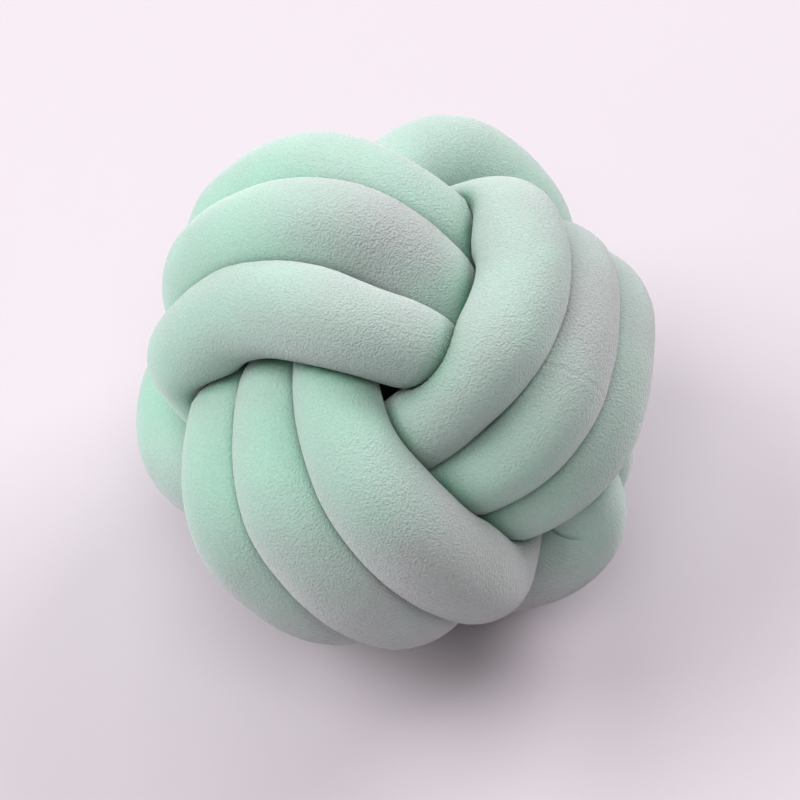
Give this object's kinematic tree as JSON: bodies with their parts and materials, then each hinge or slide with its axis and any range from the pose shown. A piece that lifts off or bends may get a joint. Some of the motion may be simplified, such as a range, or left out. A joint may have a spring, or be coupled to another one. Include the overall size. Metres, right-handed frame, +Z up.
{
  "type": "knot cushion",
  "caption": "Ball-shaped cushion tied from a long stuffed velvet tube as a monkey's fist, its sets of turns crossing over and under each other.",
  "frame": {"origin": "on the surface that the cushion rests on, under the middle of its bounding box", "axes": "+Z up; -Y forwards, the way that the swirl where three sets of turns meet looks, which is also upwards; +X to the right, seen from the front"},
  "size_m": [0.2782, 0.2942, 0.2698],
  "materials": {
    "velvet": "matt short pile with a soft sheen"
  },
  "bodies": {
    "root": {"knot_tube": "velvet"}
  },
  "joints": []
}
